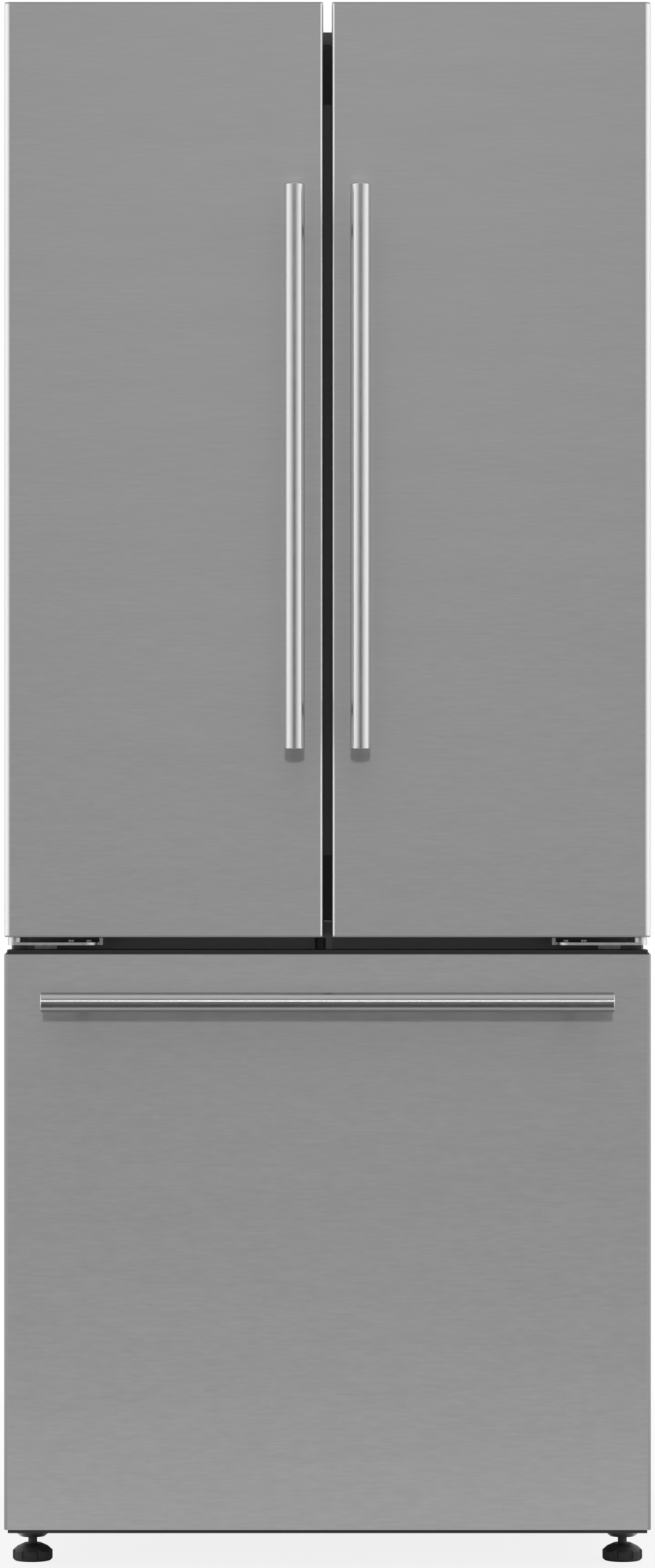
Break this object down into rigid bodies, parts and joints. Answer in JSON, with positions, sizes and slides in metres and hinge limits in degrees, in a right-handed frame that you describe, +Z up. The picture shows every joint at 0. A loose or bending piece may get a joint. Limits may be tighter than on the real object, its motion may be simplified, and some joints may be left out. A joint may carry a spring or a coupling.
{
  "type": "french door refrigerator",
  "caption": "Stainless french door refrigerator with tubular handles, a folding centre mullion and a pull-out bottom freezer drawer on slides.",
  "frame": {"origin": "middle of the footprint, on the floor", "axes": "+Z up; the doors face -Y; +X is to the right of a person facing the doors"},
  "size_m": [0.72, 0.722, 1.746],
  "materials": {
    "black_plastic": "satin",
    "black_steel": "gloss",
    "cabinet_paint": "satin",
    "clear_plastic": "gloss",
    "coil_aluminium": "satin",
    "foam": "matte",
    "grey_plastic": "satin",
    "handle_steel": "satin",
    "lens": "satin",
    "rail_paint": "satin",
    "seal_rubber": "matte",
    "shelf_glass": "gloss",
    "stainless": "satin",
    "white_plastic": "gloss",
    "zinc_steel": "satin"
  },
  "bodies": {
    "root": {"air_duct_cover": "white_plastic", "base_frame": "zinc_steel", "cabinet_shell": "cabinet_paint", "compressor": "black_steel", "condenser_coil": "black_steel", "control_panel": "black_plastic", "crossrail": "rail_paint", "drain_pan": "black_plastic", "drawer_rails_fixed": "zinc_steel", "evaporator": "coil_aluminium", "fan_motors": "zinc_steel", "foam_insulation": "foam", "freezer_duct_cover": "white_plastic", "freezer_liner": "white_plastic", "fridge_liner": "white_plastic", "light_lens": "lens", "machine_cover": "zinc_steel", "middle_hinges": "zinc_steel", "mullion_guides": "black_plastic", "power_inlet": "black_plastic", "rear_panel": "zinc_steel", "shelf_frames": "grey_plastic", "shelf_glass": "shelf_glass", "top_hinge_covers": "black_plastic", "top_hinges": "zinc_steel"},
    "left_door": {"left_door_bins": "clear_plastic", "left_door_caps": "grey_plastic", "left_door_foam": "foam", "left_door_gasket": "seal_rubber", "left_door_handle": "handle_steel", "left_door_liner": "white_plastic", "left_door_skin": "stainless", "mullion_hinges": "grey_plastic"},
    "right_door": {"right_door_bins": "clear_plastic", "right_door_caps": "grey_plastic", "right_door_foam": "foam", "right_door_gasket": "seal_rubber", "right_door_handle": "handle_steel", "right_door_liner": "white_plastic", "right_door_skin": "stainless"},
    "mullion": {"mullion_body": "black_plastic", "mullion_plate": "rail_paint"},
    "freezer_drawer": {"drawer_skin": "stainless", "drawer_caps": "black_plastic", "drawer_liner": "white_plastic", "drawer_foam": "foam", "drawer_gasket": "seal_rubber", "drawer_handle": "handle_steel", "drawer_rails_moving": "zinc_steel", "drawer_basket": "white_plastic"},
    "slide_members": {"drawer_rails_middle": "zinc_steel"},
    "upper_tray": {"freezer_tray": "clear_plastic"},
    "left_crisper": {"crisper_left": "clear_plastic"},
    "right_crisper": {"crisper_right": "clear_plastic"},
    "left_foot": {"foot_left": "black_plastic"},
    "right_foot": {"foot_right": "black_plastic"},
    "left_roller": {"roller_left": "black_plastic"},
    "right_roller": {"roller_right": "black_plastic"},
    "freezer_fan": {"evaporator_fan": "black_plastic"},
    "machine_fan": {"condenser_fan": "black_plastic"}
  },
  "joints": [
    {"name": "left_door_swing", "type": "hinge", "parent": "root", "child": "left_door", "pos_m": [-0.349, -0.288, 1.21], "axis": [0, 0, -1], "range_deg": [0, 130]},
    {"name": "right_door_swing", "type": "hinge", "parent": "root", "child": "right_door", "pos_m": [0.349, -0.288, 1.21], "axis": [0, 0, 1], "range_deg": [0, 130]},
    {"name": "mullion_fold", "type": "hinge", "parent": "left_door", "child": "mullion", "pos_m": [-0.0326, -0.25, 1.2], "axis": [0, 0, 1], "range_deg": [0, 90]},
    {"name": "freezer_drawer_slide", "type": "slide", "parent": "root", "child": "freezer_drawer", "axis": [0, -1, 0], "range_m": [0, 0.4]},
    {"name": "slide_members_travel", "type": "slide", "parent": "root", "child": "slide_members", "axis": [0, -1, 0], "range_m": [0, 0.2]},
    {"name": "upper_tray_slide", "type": "slide", "parent": "root", "child": "upper_tray", "axis": [0, -1, 0], "range_m": [0, 0.2]},
    {"name": "left_crisper_slide", "type": "slide", "parent": "root", "child": "left_crisper", "axis": [0, -1, 0], "range_m": [0, 0.22]},
    {"name": "right_crisper_slide", "type": "slide", "parent": "root", "child": "right_crisper", "axis": [0, -1, 0], "range_m": [0, 0.22]},
    {"name": "left_foot_screw", "type": "slide", "parent": "root", "child": "left_foot", "axis": [0, 0, -1], "range_m": [0, 0.012]},
    {"name": "right_foot_screw", "type": "slide", "parent": "root", "child": "right_foot", "axis": [0, 0, -1], "range_m": [0, 0.012]},
    {"name": "left_roller_spin", "type": "hinge", "parent": "root", "child": "left_roller", "pos_m": [-0.3, 0.301, 0.016], "axis": [1, 0, 0], "continuous": true},
    {"name": "right_roller_spin", "type": "hinge", "parent": "root", "child": "right_roller", "pos_m": [0.3, 0.301, 0.016], "axis": [1, 0, 0], "continuous": true},
    {"name": "freezer_fan_spin", "type": "hinge", "parent": "root", "child": "freezer_fan", "pos_m": [0, 0.25, 0.57], "axis": [0, 1, 0], "continuous": true},
    {"name": "machine_fan_spin", "type": "hinge", "parent": "root", "child": "machine_fan", "pos_m": [0.01, 0.263, 0.15], "axis": [1, 0, 0], "continuous": true}
  ],
  "couplings": [
    {"joint": "mullion_fold", "follows": "left_door_swing", "ratio": 0.6923},
    {"joint": "left_crisper_slide", "follows": "left_door_swing", "m_per_rad": 0.09696},
    {"joint": "right_crisper_slide", "follows": "right_door_swing", "m_per_rad": 0.09696},
    {"joint": "slide_members_travel", "follows": "freezer_drawer_slide", "ratio": 0.5},
    {"joint": "upper_tray_slide", "follows": "freezer_drawer_slide", "ratio": 0.5}
  ]
}
